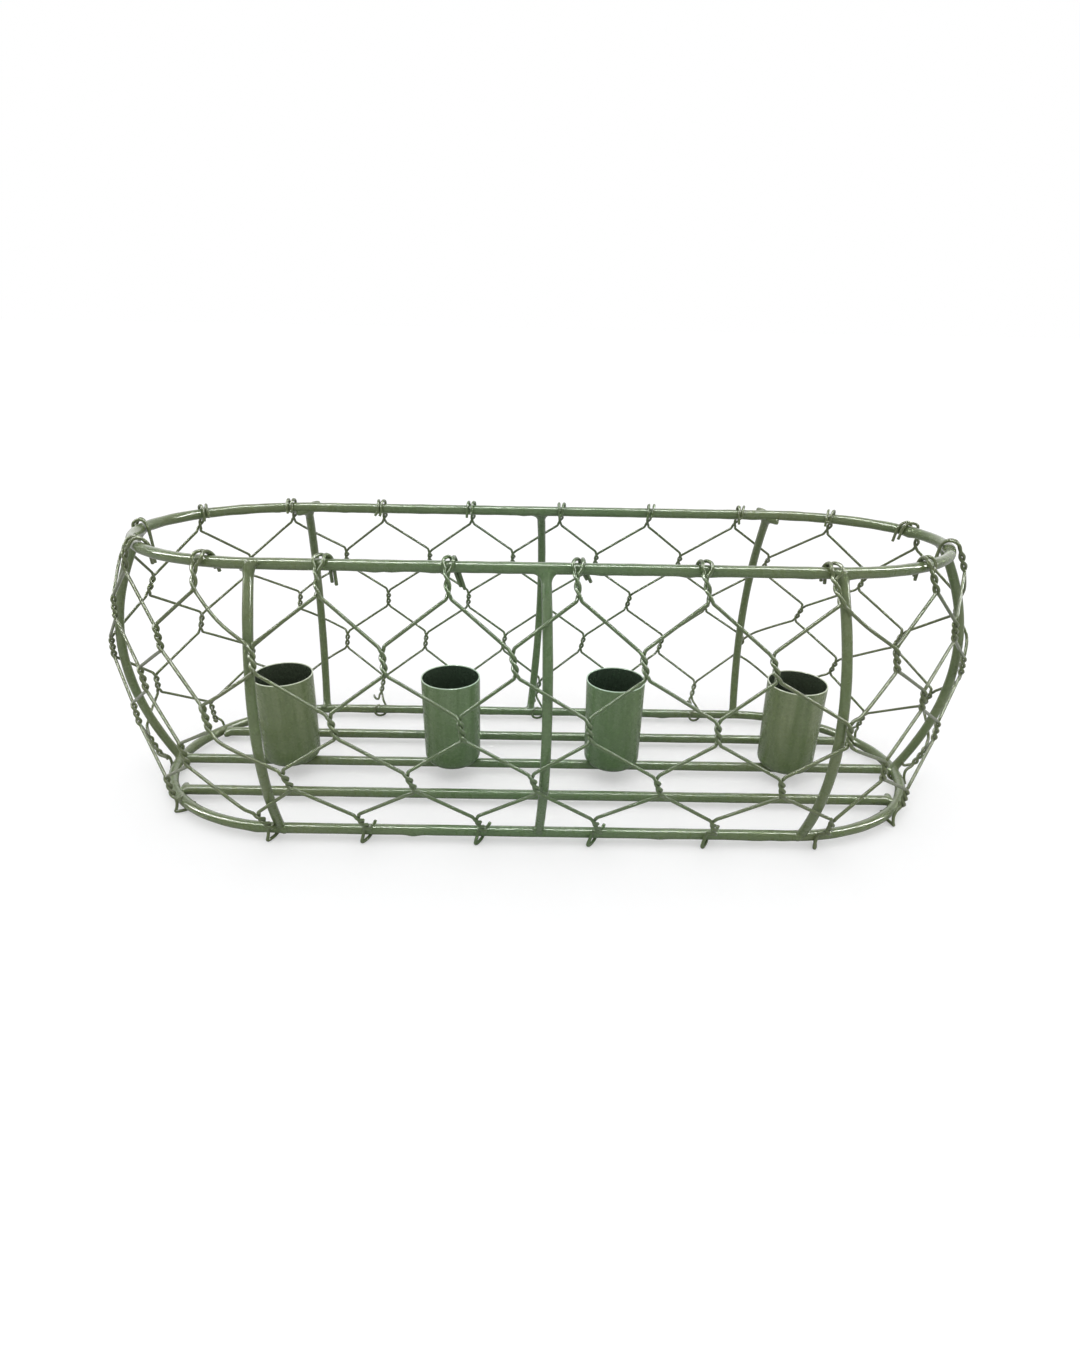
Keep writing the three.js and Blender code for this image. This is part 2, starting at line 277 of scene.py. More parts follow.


# Sprayed paint: slow drifts of tone between two greens, fine speckles, painted light as a cooler tint over
# the frame's middle, and uneven gloss.
def paintToneGroup():
    group, given, out = newGroup(
        "paintTone",
        [("NodeSocketVector", "Place", (0, 0, 0)), ("NodeSocketColor", "Full", (1, 1, 1, 1)),
         ("NodeSocketColor", "Thin", (1, 1, 1, 1)), ("NodeSocketColor", "Middle", (1, 1, 1, 1)),
         ("NodeSocketFloat", "Drift", 60.0),
         ("NodeSocketFloat", "Glossy", 0.25), ("NodeSocketFloat", "Dull", 0.45)],
        [("NodeSocketColor", "Colour"), ("NodeSocketFloat", "Roughness")],
    )
    slow = noiseNode(group, given.outputs["Place"], given.outputs["Drift"], 3, 0.6)
    fine = noiseNode(group, given.outputs["Place"], coat["speckles"], 4, 0.65)
    share = rangeNode(group, slow.outputs["Fac"], 0.35, 0.65, 0.0, 1.0)
    tone = mixColour(group, share.outputs["Result"], given.outputs["Full"], given.outputs["Thin"])
    speckle = rangeNode(group, fine.outputs["Fac"], 0.3, 0.72, *coat["speckle"])
    grey = addNode(group, "ShaderNodeCombineColor")
    for socket in grey.inputs:
        group.links.new(speckle.outputs["Result"], socket)
    speckled = mixColour(group, 1.0, tone, grey.outputs[0], "MULTIPLY")
    # painted light: a cooler tint, full at the frame's middle and gone further out, multiplied over the paint
    split = addNode(group, "ShaderNodeSeparateXYZ")
    group.links.new(given.outputs["Place"], split.inputs[0])
    side = addNode(group, "ShaderNodeMath", operation="ABSOLUTE")
    group.links.new(split.outputs["X"], side.inputs[0])
    middle = rangeNode(group, side.outputs[0], *coat["middleSpan"], 1.0, 0.0)
    paintedLightTint = mixColour(group, middle.outputs["Result"], (1, 1, 1, 1), given.outputs["Middle"])
    group.links.new(mixColour(group, 1.0, speckled, paintedLightTint, "MULTIPLY"), out.inputs["Colour"])
    gloss = noiseNode(group, given.outputs["Place"], coat["glossPatches"], 3, 0.6)
    rough = rangeNode(group, gloss.outputs["Fac"], 0.3, 0.7, given.outputs["Glossy"], given.outputs["Dull"])
    group.links.new(rough.outputs["Result"], out.inputs["Roughness"])
    return group


# Orange peel: the small swells of a thick sprayed coat, with a few finer grains in it.
def orangePeelGroup():
    group, given, out = newGroup(
        "orangePeel",
        [("NodeSocketVector", "Place", (0, 0, 0)), ("NodeSocketFloat", "Size", 700.0),
         ("NodeSocketFloat", "Height", 0.5)],
        [("NodeSocketVector", "Normal")],
    )
    swells = noiseNode(group, given.outputs["Place"], given.outputs["Size"], 2, 0.5)
    grains = noiseNode(group, given.outputs["Place"], coat["grains"], 2, 0.5)
    both = addNode(group, "ShaderNodeMath", operation="MULTIPLY_ADD")
    group.links.new(grains.outputs["Fac"], both.inputs[0])
    both.inputs[1].default_value = coat["grainShare"]
    group.links.new(swells.outputs["Fac"], both.inputs[2])
    bump = addNode(group, "ShaderNodeBump")
    bump.inputs["Distance"].default_value = coat["bumpDepth"]
    group.links.new(given.outputs["Height"], bump.inputs["Strength"])
    group.links.new(both.outputs[0], bump.inputs["Height"])
    group.links.new(bump.outputs["Normal"], out.inputs["Normal"])
    return group


paintTone = paintToneGroup()
orangePeel = orangePeelGroup()


def placeGroup(tree, group, values):
    node = addNode(tree, "ShaderNodeGroup")
    node.node_tree = group
    for label, value in values.items():
        feed(tree, value, node.inputs[label])
    return node


def newMaterial(name):
    material = bpy.data.materials.new(name)
    material.use_nodes = True
    tree = material.node_tree
    shader = tree.nodes["Principled BSDF"]
    place = addNode(tree, "ShaderNodeTexCoord")
    return material, tree, shader, place


# One coat of enamel over the whole piece, drifting from the full colour to the thin one.
def spray(tree, shader, place, paint, full, thin):
    # the Middle colour is painted light, a cooler tint over the frame's middle
    tone = placeGroup(tree, paintTone, {
        "Place": place.outputs["Object"], "Full": full, "Thin": thin, "Middle": coat["middle"],
        "Drift": paint["drift"], "Glossy": paint["glossy"], "Dull": paint["dull"],
    })
    peel = placeGroup(tree, orangePeel, {
        "Place": place.outputs["Object"], "Size": paint["peelSize"], "Height": paint["peelHeight"],
    })
    tree.links.new(tone.outputs["Colour"], shader.inputs["Base Color"])
    tree.links.new(tone.outputs["Roughness"], shader.inputs["Roughness"])
    tree.links.new(peel.outputs["Normal"], shader.inputs["Normal"])
    shader.inputs["IOR"].default_value = 1.5
    shader.inputs["Specular IOR Level"].default_value = paint["specular"]
    shader.inputs["Coat Weight"].default_value = paint["coatWeight"]
    shader.inputs["Coat Roughness"].default_value = paint["coatRoughness"]


rodPaint = {
    "full": (0.122, 0.168, 0.070, 1), "thin": (0.150, 0.186, 0.086, 1), "drift": 45.0,
    "glossy": 0.22, "dull": 0.38, "peelSize": 620.0, "peelHeight": 0.55,
    "specular": 0.3, "coatWeight": 0.9, "coatRoughness": 0.05,
}
netPaint = {
    "full": (0.112, 0.146, 0.058, 1), "thin": (0.138, 0.164, 0.078, 1), "drift": 30.0,
    "glossy": 0.30, "dull": 0.46, "peelSize": 1100.0, "peelHeight": 0.35,
    "specular": 0.3, "coatWeight": 0.9, "coatRoughness": 0.05,
}


def enamelMaterial(name, paint):
    material, tree, shader, place = newMaterial(name)
    spray(tree, shader, place, paint, paint["full"], paint["thin"])
    return material


cupPaint = {
    "outside": (0.145, 0.190, 0.086, 1), "streak": (0.215, 0.258, 0.138, 1),
    # low and pooled are painted shade: the outside wall darker towards its bottom
    "low": (0.098, 0.142, 0.060, 1), "paintedLowShade": (0.75, 0.15, 0.85),  # from where, to where, and how much
    # inside is painted shade: the cup's hollow painted dark
    "inside": (0.052, 0.068, 0.044, 1), "insideEdge": 0.012,
    # rim is a painted highlight: a pale band along the top of the rim
    "rim": (0.62, 0.68, 0.52, 1), "rimHighlightHalf": 0.009,
    "streaks": 9.0, "drift": 120.0,
    "glossy": 0.20, "dull": 0.34, "peelSize": 800.0, "peelHeight": 0.18,
    "specular": 0.5, "coatWeight": 0.3, "coatRoughness": 0.1,
}


# The cups' enamel: soft streaks up the drawn wall, painted shade darkening the wall towards its bottom,
# painted shade inside and a painted highlight along the rim, by the piece's own map.
# Its second coordinate runs from under the cup up the outside (0 to 1), over the rim and down inside (to 2).
def cupMaterial():
    material, tree, shader, place = newMaterial("cupEnamel")
    stretch = addNode(tree, "ShaderNodeMapping")
    stretch.inputs["Scale"].default_value = (cupPaint["streaks"], 0.5, 1)
    tree.links.new(place.outputs["UV"], stretch.inputs["Vector"])
    streaks = noiseNode(tree, stretch.outputs["Vector"], 1.0, 3, 0.55)
    share = rangeNode(tree, streaks.outputs["Fac"], 0.36, 0.70, 0.0, 1.0)
    drawn = mixColour(tree, share.outputs["Result"], cupPaint["outside"], cupPaint["streak"])
    split = addNode(tree, "ShaderNodeSeparateXYZ")
    tree.links.new(place.outputs["UV"], split.inputs[0])
    # painted shade: the outside wall darkens towards its bottom
    none, most, much = cupPaint["paintedLowShade"]
    paintedLowShade = rangeNode(tree, split.outputs["Y"], none, most, 0.0, much)
    wall = mixColour(tree, paintedLowShade.outputs["Result"], drawn, cupPaint["low"])
    # painted shade: past the rim the inside of the cup is painted dark
    insideShadeMask = rangeNode(tree, split.outputs["Y"], 1.0, 1.0 + cupPaint["insideEdge"], 0.0, 1.0)
    withInsideShade = mixColour(tree, insideShadeMask.outputs["Result"], wall, cupPaint["inside"])
    # painted highlight: a pale band along the top of the rim
    rimHighlightMask = addNode(tree, "ShaderNodeMath", operation="COMPARE")
    tree.links.new(split.outputs["Y"], rimHighlightMask.inputs[0])
    rimHighlightMask.inputs[1].default_value = 1.0
    rimHighlightMask.inputs[2].default_value = cupPaint["rimHighlightHalf"]
    painted = mixColour(tree, rimHighlightMask.outputs[0], withInsideShade, cupPaint["rim"])
    spray(tree, shader, place, cupPaint, painted, painted)
    return material


rodEnamel = enamelMaterial("rodEnamel", rodPaint)
netEnamel = enamelMaterial("netEnamel", netPaint)
cupEnamel = cupMaterial()


def finishPiece(piece, material, slot, *nodes):
    piece.data.materials.append(material)
    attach(piece, "root")
    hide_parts(*nodes)


# Rings: round rod with a slightly uneven coat and drips of paint along the underside.
ring = {
    "sides": 20, "step": 0.9, "outlineSteps": 4000,
    "wobble": 0.035, "waveShort": 9, "waveLong": 40,
    "drips": 14, "dripHeight": (0.12, 0.45), "dripLength": (1.6, 3.4),
    "underside": 1.5,  # how closely the drips keep to the underside
}


def makeRing(node, height, seed, chosenDrips):
    rng = np.random.default_rng(seed)
    columns = np.linspace(0, net["columns"], ring["outlineSteps"], endpoint=False)
    path, places = evenly(around(columns, np.full_like(columns, height)), ring["step"], closed=True)
    whole = places[1] * len(places)
    angle = 2 * np.pi * np.arange(ring["sides"]) / ring["sides"]
    below = np.maximum(0, -np.sin(angle)) ** ring["underside"]
    wobble = ring["wobble"] * uneven(places, seed, ring["waveShort"], ring["waveLong"])
    radius = rodRadius + cage["paint"] + wobble
    drop = np.zeros_like(places)
    ranges = ((0, whole), ring["dripHeight"], ring["dripLength"])
    looseDrips = np.stack([rng.uniform(*ends, ring["drips"]) for ends in ranges], axis=1)
    for at, high, long in np.vstack([looseDrips, chosenDrips]):
        apart = np.abs((places - at + whole / 2) % whole - whole / 2)
        drop = np.maximum(drop, high * np.exp(-((apart / long) ** 2)))
    full = radius[:, None] + drop[:, None] * below[None, :]
    piece = makeMesh(node + "_rod", *tube(path, full, full, up, ring["sides"], closed=True))
    finishPiece(piece, rodEnamel, "painted_rod", node)


# drips: (how far along from the middle of the front, height, length)
makeRing("top_ring", topZ, 11, [(-58, 0.45, 3.0), (58, 0.3, 3.2)])
makeRing("bottom_ring", bottomZ, 23, [(-49, 0.7, 2.6), (88, 0.35, 3.0)])
print("rings made")


# Ribs: bowed rods, belled smoothly into the top ring and run down onto the bottom ring. A side rib has its
# side, the end it stands by or 0 for the middle, how far past that corner or along from the middle its top
# and its bottom are, and its sway at half height.
sideRibs = {
    "front_left": (-1, -1, 1.4, 0.8, 1.3),
    "front_middle": (-1, 0, 1.6, 0.6, 1.7),
    "front_right": (-1, 1, 4.6, 4.1, 1.8),
    "back_left": (1, -1, 4.8, 8.6, -3.5),
    "back_middle": (1, 0, -0.4, -4.3, 2.3),
    "back_right": (1, 1, 1.6, 0.3, 1.2),
}


# A side rib's point: straight from ring to ring along x but for its sway, and out on the barrel in y, which
# beyond the corner falls off as the ellipse half * sqrt(1 - past^2).
def onSideRib(rib, height):
    side, end, top, bottom, sway = rib
    share = (height - bottomZ) / (topZ - bottomZ)
    swell, reach, half = outline(height, cage["ribBow"], 0)
    pastCorner = mix(bottom, top, share)
    x = (pastCorner if end == 0 else end * (straightHalf + pastCorner)) + sway * swell
    past = np.maximum(0, np.abs(x) - straightHalf) / reach
    return np.stack([x, side * half * np.sqrt(1 - past**2), height], axis=-1)


# What a fillet adds to a rod's half width: R - sqrt(R^2 - (R - d)^2), d counted from just inside the ring.
def belled(distance, radius):
    d = np.clip(distance - 0.75 * rodRadius, 0, radius)
    return radius - np.sqrt(radius**2 - (radius - d) ** 2)


# A rod's coat along its length, as a factor close to one.
def unevenCoat(places, seed):
    return 1 + cage["unevenness"] * uneven(places, seed, *cage["waves"])


def makeRib(name, pointAt, seed):
    heights = np.linspace(bottomZ, topZ, cage["ribHeights"])
    path, places = evenly(pointAt(heights), cage["ribStep"])
    outward = unit(path * [cage["splay"], 1, 0])
    if name.endswith("end"):
        outward = np.broadcast_to([np.sign(path[0, 0]), 0.0, 0.0], path.shape)
    fromTop, fromBottom = places[-1] - places, places
    plain = cage["rib"] * unevenCoat(places, seed)
    along = plain + belled(fromTop, cage["weld"]) + belled(fromBottom, cage["foot"])
    # the rib's face swells to meet the top ring's face
    across = plain + cage["swelling"] * np.clip(1 - fromTop / cage["swellLength"], 0, 1) ** 2
    # the tube's depth lies along the reference, which points outwards, and its width along the ring
    piece = makeMesh(f"{name}_rod", *tube(path, along, across, outward, cage["ribSides"]))
    finishPiece(piece, rodEnamel, "painted_rod", name)


for number, (place, rib) in enumerate(sideRibs.items()):
    makeRib(f"rib_{place}", lambda height: onSideRib(rib, height), 40 + number)
for name, tip in (("rib_right_end", rightTip), ("rib_left_end", -rightTip)):
    makeRib(name, lambda height: around(np.full_like(height, tip), height, bow=cage["ribBow"]), 60)
print("ribs made")


# Base bars: straight rod, filleted into the inside of the bottom ring, with a puddle of weld under each cup.
bars = {
    "step": 0.9, "sides": 20,
    "sunk": 1.2,  # how far each end runs on into the bottom ring
    "fillet": 2.2, "filletStart": 0.6,  # its radius, and how much of it the ring hides
    "puddle": 0.35, "puddleLength": 3.5,
}
cupBoxes = [boxOf(f"candle_cup_{i}") for i in (1, 2, 3, 4)]
cupMiddles = [(low + high) / 2 for low, high in cupBoxes]


def makeBar(name, seed):
    low, high = boxOf(name)
    y = (low[1] + high[1]) / 2
    ends = [[low[0] - bars["sunk"], y, bottomZ], [high[0] + bars["sunk"], y, bottomZ]]
    path, places = evenly(np.array(ends), bars["step"])
    fromEnd = np.minimum(places, places[-1] - places)
    radius = (rodRadius + cage["paint"]) * unevenCoat(places, seed)
    wide = radius + belled(fromEnd + bars["filletStart"], bars["fillet"])
    deep = radius.copy()
    if name.endswith("middle"):
        for middle in cupMiddles:
            deep += bars["puddle"] * np.exp(-(((path[:, 0] - middle[0]) / bars["puddleLength"]) ** 2))
    piece = makeMesh(f"{name}_rod", *tube(path, wide, deep, up, bars["sides"]))
    finishPiece(piece, rodEnamel, "painted_rod", name)


for number, place in enumerate(("front", "middle", "back")):
    makeBar(f"base_bar_{place}", 80 + number)
print("base bars made")


# Candle cups: thin drawn metal, rounded underneath, with a rolled rim that carries a painted highlight.
cup = {
    "wall": 0.55, "corner": 4, "taper": 0.5, "sides": 96,
    "drop": 0.3,  # how far it sits down onto its bar
    "dents": (0.006, 0.003), "dentFrom": 5,  # how much it is out of round, beyond this radius
    "pip": 0.15,  # radius of the small flat that closes its underside and its floor
    "wallRows": 26, "bendRows": 9,
    "streakStep": 3.7,  # sets each cup's streaks apart from the others'
}


# The wall's outline as radius and height, from under the middle, up outside, over the rim and down inside: a
# quarter circle round each bottom corner, straight walls, and a half circle over the rim.
def cupOutline(radius, tall):
    wall, corner = cup["wall"], cup["corner"]
    centre = radius - cup["taper"] - corner
    turn = np.radians(np.linspace(-90, 0, cup["bendRows"]))
    quarter = np.stack([np.cos(turn), np.sin(turn)], axis=1)
    rim = np.radians(np.linspace(0, 180, cup["bendRows"])[1:])
    rise = np.linspace(0, 1, cup["wallRows"])[1:]
    lip = tall - wall / 2
    outside = [centre, corner] + corner * quarter
    wallUp = np.stack([mix(outside[-1, 0], radius, rise), mix(corner, lip, rise)], axis=1)
    over = [radius - wall / 2, lip] + wall / 2 * np.stack([np.cos(rim), np.sin(rim)], axis=1)
    inner = ([centre, corner] + (corner - wall) * quarter)[::-1]
    wallDown = np.stack([mix(radius - wall, inner[0, 0], rise), mix(lip, corner, rise)], axis=1)[:-1]
    under = np.array([[cup["pip"], 0.0], [centre / 2, 0.0]])
    floor = np.array([[centre / 2, wall], [cup["pip"], wall]])
    return np.vstack([under, outside, wallUp, over, wallDown, inner, floor])


# A cup is its outline turned round its middle, a little out of round: 1 + a sin(2 angle) + b sin(3 angle).
def makeCup(number):
    low, high = cupBoxes[number - 1]
    middle = (low + high) / 2
    radius = (high[1] - low[1]) / 2
    outlinePoints = cupOutline(radius, high[2] - low[2])
    far = np.concatenate([[0], np.cumsum(np.linalg.norm(np.diff(outlinePoints, axis=0), axis=1))])
    angle = 2 * np.pi * np.arange(cup["sides"]) / cup["sides"]
    broad, narrow = cup["dents"]
    dent = 1 + broad * np.sin(2 * angle + number) + narrow * np.sin(3 * angle + 2 * number)
    rows = outlinePoints[:, :1] * np.where(outlinePoints[:, :1] > cup["dentFrom"], dent, 1)
    x = middle[0] + rows * np.cos(angle)
    y = middle[1] + rows * np.sin(angle)
    z = np.broadcast_to(low[2] - cup["drop"] + outlinePoints[:, 1:], x.shape)
    vertices = np.stack([x, y, z], axis=-1).reshape(-1, 3)
    faces = gridFaces(len(outlinePoints), cup["sides"])
    last = (len(outlinePoints) - 1) * cup["sides"]
    faces.append(list(range(cup["sides"]))[::-1])
    faces.append(list(range(last, last + cup["sides"])))
    mirrored = np.abs(np.mod(angle / np.pi + 0.5, 2) - 1) + number * cup["streakStep"]  # so the streaks meet
    top = np.argmax(outlinePoints[:, 1])
    downInside = 1 + (far - far[top]) / (far[-1] - far[top])
    upAndIn = np.where(np.arange(len(far)) <= top, far / far[top], downInside)
    uv = np.stack([np.broadcast_to(mirrored, x.shape), np.broadcast_to(upAndIn[:, None], x.shape)], axis=-1)
    piece = makeMesh(f"cup_{number}", vertices, faces, uv.reshape(-1, 2))
    finishPiece(piece, cupEnamel, "painted_cup", f"candle_cup_{number}")


for number in (1, 2, 3, 4):
    makeCup(number)
print("cups made")


# Netting: each strand runs down through a twist in every row and is hooked over both rings.
hooks = {
    "eye": (1.35, 1.6),  # from the middle of an eye over the top ring to each wire
    "shift": 2.4, "shifts": (0.3, 1.3),  # how far along the ring the cut tails hang, and the range in shares
    "lean": (-0.5, 1.5), "tail": 7.5, "tails": (0.3, 1.0),  # how far they lean, and their length
    # shift, lean and length of the tails along the front, each as it was bent, by the strand's number
    "chosen": {
        16: (2.0, 0.6, 3.6), 17: (2.8, 0.2, 7.6), 18: (1.6, 2.6, 8.4),
        0: (1.9, 2.6, 5.0), 1: (-2.0, -0.6, 1.0), 2: (-2.0, 0.5, 4.0),
    },
    "back": (0.45, 0.35, 0.8), "backFrom": 20,  # along the back, shift, length and eye are this much smaller
    "loop": (0.75, 1.2), "stub": (-0.5, 0.9),  # under the bottom ring, the loops' width and the stubs' rise
    "roundLoop": (0.8, 1.05), "roundFrom": 30,  # the rounder loops along the back
    "clearance": 0.05,  # between the loops and the floor
}
bend = {
    "leave": (0.7, 2.2), "droop": 0.35,  # a strand leaves a twist over these lengths, drooping at first
    "arrive": (2.6, 0.9), "steep": 1.3, "early": 0.15,  # and comes into the next, steeply if it passes behind
}


# The netting's surface at a point: the point itself, along the rings, and outwards.
def netFrame(column, height):
    def at(c, h):
        return around(c, h, bow=cage["ribBow"], out=net["standoff"], flatness=net["flatness"])

    along = unit(at(column + 0.01, height) - at(column - 0.01, height))
    rise = unit(at(column, height + 0.1) - at(column, height - 0.1))
    return at(column, height), along, unit(np.cross(along, rise))


def twistMiddle(row):
    return topZ - net["topDrop"] - row * rowPitch


def wireAt(y):
    depth = net["wireDepth"]
    return mix(net["wireFront"], net["wireBack"], np.clip((y + depth) / (2 * depth), 0, 1))


# A strand in a twist: -lean r cos(angle) along and lean r sin(angle) outwards, over its half turns, while the
# twist's own axis leans on by a few hundredths of a column.
def twistPoints(row, column, lean, slant):
    middle, length, turns = twistMiddle(row), net["twistLength"], net["halfTurns"]
    if row == 0:
        middle, length, turns = middle - net["firstDrop"], net["firstLength"], net["firstTurns"]
    share = np.arange(4 * turns + 1) / (4 * turns)
    height = middle + length * (0.5 - share)
    centre, along, out = netFrame(column + slant * (share - 0.5), height)
    angle = np.pi * (net["halfTurns"] - turns + turns * share)
    points = centre - lean * net["turn"] * np.cos(angle)[:, None] * along
    return points + lean * net["turn"] * np.sin(angle)[:, None] * out


# Where a run crosses the tip or a crease at an end of the cage, as points on the netting's surface.
def creases(row, column, nextColumn):
    half = endColumns / 2
    crease = half - net["crease"] / np.pi * endColumns
    tips = [rightTip, net["columns"] - rightTip]
    places = np.array([t + s for t in tips for s in (-crease, 0, crease)])
    places = (places[:, None] + np.array([-1, 0, 1]) * net["columns"]).ravel()
    share = (places - column) / (nextColumn - column)
    order = np.argsort(share)
    clear = net["bendClear"]
    keep = order[(share[order] > clear) & (share[order] < 1 - clear)]
    fromZ = twistMiddle(row) - net["twistLength"] / 2
    toZ = twistMiddle(row + 1) + net["twistLength"] / 2
    centre, _, _ = netFrame(places[keep], mix(fromZ, toZ, share[keep]))
    return centre


# Between twists: away from one in a curve, straight on over any rib, and into the next; a strand that
# passes behind at the top of the next twist comes in more steeply.
def runPoints(start, bends, stop, lean):
    stops = np.vstack([start, bends, stop])
    first, last = unit(stops[1] - stops[0]), unit(stops[-1] - stops[-2])
    steep = bend["steep"] if lean < 0 else 0.0
    (near, far), (early, late) = bend["leave"], bend["arrive"]
    away = [start + near * unit(first - bend["droop"] * up), start + far * first]
    into = [stop - early * unit(last - bend["early"] * steep * up), stop - late * unit(last - steep * up)]
    middle = mix(away[1], into[0], 0.5) if len(bends) == 0 else bends
    return np.vstack([*away, middle, *into])


# A ring's rod at a column: its centreline, along it, and straight outwards.
def ringFrame(column, height):
    base = around(column, height)
    along = unit(around(column + 0.01, height) - around(column - 0.01, height))
    return base, along, np.cross(along, up)


# Over the top ring: apart from the twist into an eye, over it close together and down inside as a cut tail.
def topHook(number, column, side, rng):
    base, along, out = ringFrame(np.float64(column), topZ)
    looseShift, looseLean = hooks["shift"] * rng.uniform(*hooks["shifts"]), rng.uniform(*hooks["lean"])
    loose = (looseShift, looseLean, hooks["tail"] * rng.uniform(*hooks["tails"]))
    shift, lean, tail = hooks["chosen"].get(number, loose)
    eye = rng.uniform(*hooks["eye"])
    if base[1] > hooks["backFrom"]:
        shift, tail, eye = np.array([shift, tail, eye]) * hooks["back"]
    steps = np.array([  # aside on the strand's own side, out, up, and how much of the shift
        (1.0, 3.7, 0.3, 0), (0.9 * eye, 3.5, 0.9, 0), (1.15 * eye, 3.2, 1.7, 0), (1.2 * eye, 2.6, 2.6, 0),
        (1.1 * eye, 1.8, 3.2, 0.05), (0.9 * eye, 1.0, 3.5, 0.12), (1.1, 0.0, 3.6, 0.3),
        (0.85, -1.2, 3.3, 0.55), (0.75, -2.3, 2.3, 0.8), (0.72, -3.1, 0.9, 0.95), (0.72, -3.2, -0.6, 1.0),
    ])
    aside = side * steps[:, 0] + shift * steps[:, 3]
    share = np.array([0.25, 0.6, 0.9, 1.0])[:, None]
    points = base + aside[:, None] * along + steps[:, 1:2] * out + steps[:, 2:3] * up
    hang = points[-1] + lean * share * along - 0.5 * share * out - (tail + side * 0.5) * share * up
    return np.vstack([points, hang])


# Under the bottom ring: one wire hangs in a narrow loop that comes up behind it, and the other ends as a stub
# beside the loop. Along the back the loops are rounder and wider.
def bottomHook(column, lean, rng):
    base, along, out = ringFrame(np.float64(column), bottomZ)
    floor = -bottomZ + wireAt(base[1]) + hooks["clearance"]
    width, rise = rng.uniform(*hooks["loop"]), rng.uniform(*hooks["stub"])
    if lean > 0:
        steps = np.array([  # along, out, up from the ring's centreline
            (1.2, 3.6, 4.2), (1.9, 3.3, 3.9), (2.6, 3.0, 4.3), (3.2, 2.7, 5.2), (3.5, 2.5, 6.0 + rise),
        ])
    elif base[1] > hooks["roundFrom"]:
        steps = np.array([
            (-1.0, 3.5, 3.4), (-2.0, 3.2, 1.8), (-3.0, 2.7, 0.0), (-3.4, 1.9, -1.9), (-2.4, 0.6, floor),
            (-0.4, -1.0, floor), (1.6, -2.4, -2.5), (2.9, -3.0, -1.0), (3.0, -3.2, 1.0), (2.0, -3.2, 2.8),
            (0.5, -3.1, 3.8), (-0.5, -2.9, 3.6),
        ]) * [rng.uniform(*hooks["roundLoop"]), 1, 1]
    else:
        steps = np.array([
            (-0.95, 3.5, 3.5), (-1.2, 3.25, 1.8), (-1.5, 3.2, 0.2), (-2.0 * width, 3.5, -1.6),
            (-2.4 * width, 4.0, floor + 0.35), (-2.3 * width, 4.3, floor), (-1.5 * width, 3.5, floor),
            (-0.6 * width, 1.9, floor), (0.3 * width, 0.0, floor + 0.2), (0.9 * width, -2.0, -2.4),
            (1.1 * width, -3.0, -0.6),
        ])
    return base + steps[:, 0:1] * along + steps[:, 1:2] * out + steps[:, 2:3] * up


# A strand steps half a column to its own side from row to row, so that it meets a new partner in each twist.
def makeStrand(name, number, lean):
    rng = np.random.default_rng(500 + 2 * number + (lean > 0))
    first = net["start"] + number
    columns = first + np.arange(net["rows"]) * (net["drift"] + lean / 2)
    fromMiddle = np.abs(np.mod(columns + net["columns"] / 2, net["columns"]) - net["columns"] / 2)
    columns = columns + np.where(fromMiddle < net["shiftReach"], net["shift"], 0)
    footLeft = net["columns"] - np.mod(columns[-1], net["columns"])
    columns[-1] += net["pull"] * (net["pulled"][0] < footLeft < net["pulled"][1])
    parts = [topHook(number, first, lean, rng)[::-1]]
    byColumn, byRow = net["leanWave"]
    for row, column in enumerate(columns):
        # both strands of a twist have to lean alike, so its slant comes from the twist's own place
        spread = 0.5 + 0.5 * np.sin(byColumn * np.mod(column, net["columns"]) + byRow * row)
        twist = twistPoints(row, column, lean, mix(*net["twistLean"], spread))
        if row:
            bends = creases(row - 1, columns[row - 1], column)
            parts.append(runPoints(parts[-1][-1], bends, twist[0], lean))
        parts.append(twist)
    parts.append(bottomHook(columns[-1], lean, rng))
    path = smoothPath(np.vstack(parts), net["samples"])
    radius = wireAt(path[:, 1])
    radial = path * np.array([1, 1, 0]) - np.clip(path[:, :1], -straightHalf, straightHalf) * [1, 0, 0]
    reference = np.cross(up, unit(radial))
    radius[[0, -1]] *= net["cutEnd"]
    piece = makeMesh(name + "_wire", *tube(path, radius, radius, reference, net["sides"]))
    finishPiece(piece, netEnamel, "painted_net", name)


for hand, lean in (("right", 1), ("left", -1)):
    for number in range(net["columns"]):
        makeStrand(f"net_{hand}_{number + 1:02d}", number, lean)
print("netting made")


# Floor, studio and camera.
stage = {
    "floorSize": 30.0,
    "floor": (0.62, 0.62, 0.625, 1), "glow": 0.36,  # as it is seen, with a little light of its own
    "bounce": (0.46, 0.46, 0.46, 1),  # how pale it is to the frame above it
    "seen": 1.0,  # the backdrop as it is seen
    "horizon": 0.92, "zenith": 1.26,  # the dome that lights the frame
    # what its gloss mirrors: a dimmer dome, a paler back wall, and a long lamp overhead
    "mirrored": (0.20, 0.45), "backWall": 1.0, "backWallSpan": (0.1, 0.9),
    "strip": 60.0, "stripRise": np.radians(82), "stripHalf": (0.026, 0.040), "stripFrom": (0.25, 0.35),
}


